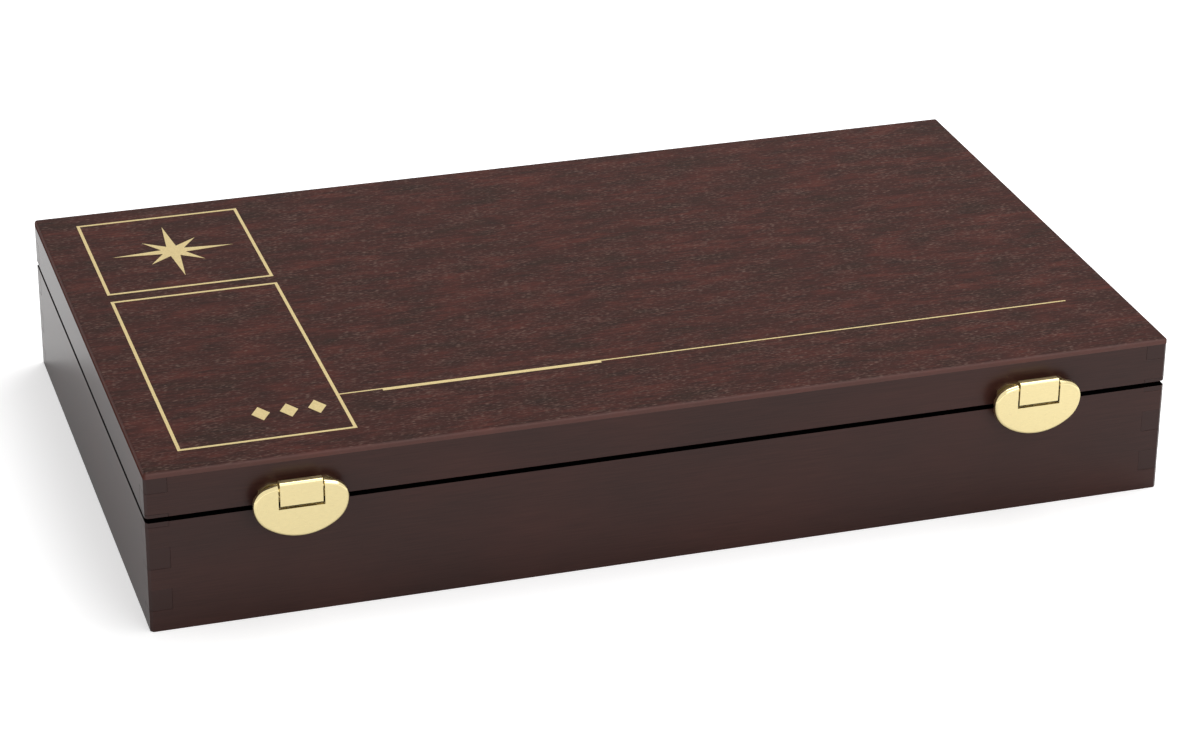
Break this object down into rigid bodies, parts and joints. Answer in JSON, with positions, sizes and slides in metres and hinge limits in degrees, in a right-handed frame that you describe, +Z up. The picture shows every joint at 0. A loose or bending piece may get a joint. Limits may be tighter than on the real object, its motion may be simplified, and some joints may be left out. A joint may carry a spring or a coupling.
{
  "type": "pastel case",
  "caption": "Shallow wooden presentation case with a hinged lid, oval front clasps and stacked foam trays of round pastel sticks.",
  "frame": {"origin": "middle of the underside, on the surface the case stands on", "axes": "+X right along the front with the clasps, +Y to the hinges, +Z up"},
  "size_m": [0.3, 0.1868, 0.0486],
  "materials": {
    "lacquered_wood": "satin lacquer",
    "veneer": "satin lacquered veneer",
    "plywood": "stained",
    "clasp_brass": "polished pale gold",
    "hinge_brass": "satin",
    "fastener_brass": "satin",
    "flocked_foam": "flocked",
    "pad_lining": "napped",
    "ribbon": "satin weave",
    "pastel": "waxy"
  },
  "bodies": {
    "box": {"box_bottom_panel": "plywood", "box_front_wall": "lacquered_wood", "box_left_wall": "lacquered_wood", "box_rear_wall": "lacquered_wood", "box_right_wall": "lacquered_wood", "clasp_keeper_screws": "fastener_brass", "hinge_box_screws": "fastener_brass", "left_clasp_keeper": "clasp_brass", "left_hinge_box_leaf": "hinge_brass", "left_hinge_pin": "fastener_brass", "left_lift_ribbon": "ribbon", "lower_tray": "flocked_foam", "lower_tray_front_sticks": "pastel", "lower_tray_rear_sticks": "pastel", "right_clasp_keeper": "clasp_brass", "right_hinge_box_leaf": "hinge_brass", "right_hinge_pin": "fastener_brass", "right_lift_ribbon": "ribbon", "upper_tray": "flocked_foam", "upper_tray_front_sticks": "pastel", "upper_tray_rear_sticks": "pastel"},
    "lid": {"clasp_bracket_screws": "fastener_brass", "hinge_lid_screws": "fastener_brass", "left_clasp_bracket": "clasp_brass", "left_clasp_pin": "fastener_brass", "left_hinge_lid_leaf": "hinge_brass", "lid_front_wall": "lacquered_wood", "lid_left_wall": "lacquered_wood", "lid_pad": "pad_lining", "lid_rear_wall": "lacquered_wood", "lid_right_wall": "lacquered_wood", "lid_top_board": "veneer", "right_clasp_bracket": "clasp_brass", "right_clasp_pin": "fastener_brass", "right_hinge_lid_leaf": "hinge_brass"},
    "left_clasp_lever": {"left_clasp_lever": "clasp_brass", "left_clasp_hook": "clasp_brass"},
    "right_clasp_lever": {"right_clasp_lever": "clasp_brass", "right_clasp_hook": "clasp_brass"}
  },
  "joints": [
    {"name": "lid_hinge", "type": "hinge", "parent": "box", "child": "lid", "pos_m": [0, 0.0905, 0.0348], "axis": [-1, 0, 0], "range_deg": [0, 100]},
    {"name": "left_clasp_pivot", "type": "hinge", "parent": "lid", "child": "left_clasp_lever", "pos_m": [-0.108, -0.092, 0.04015], "axis": [-1, 0, 0], "range_deg": [0, 90]},
    {"name": "right_clasp_pivot", "type": "hinge", "parent": "lid", "child": "right_clasp_lever", "pos_m": [0.108, -0.092, 0.04015], "axis": [-1, 0, 0], "range_deg": [0, 90]}
  ]
}
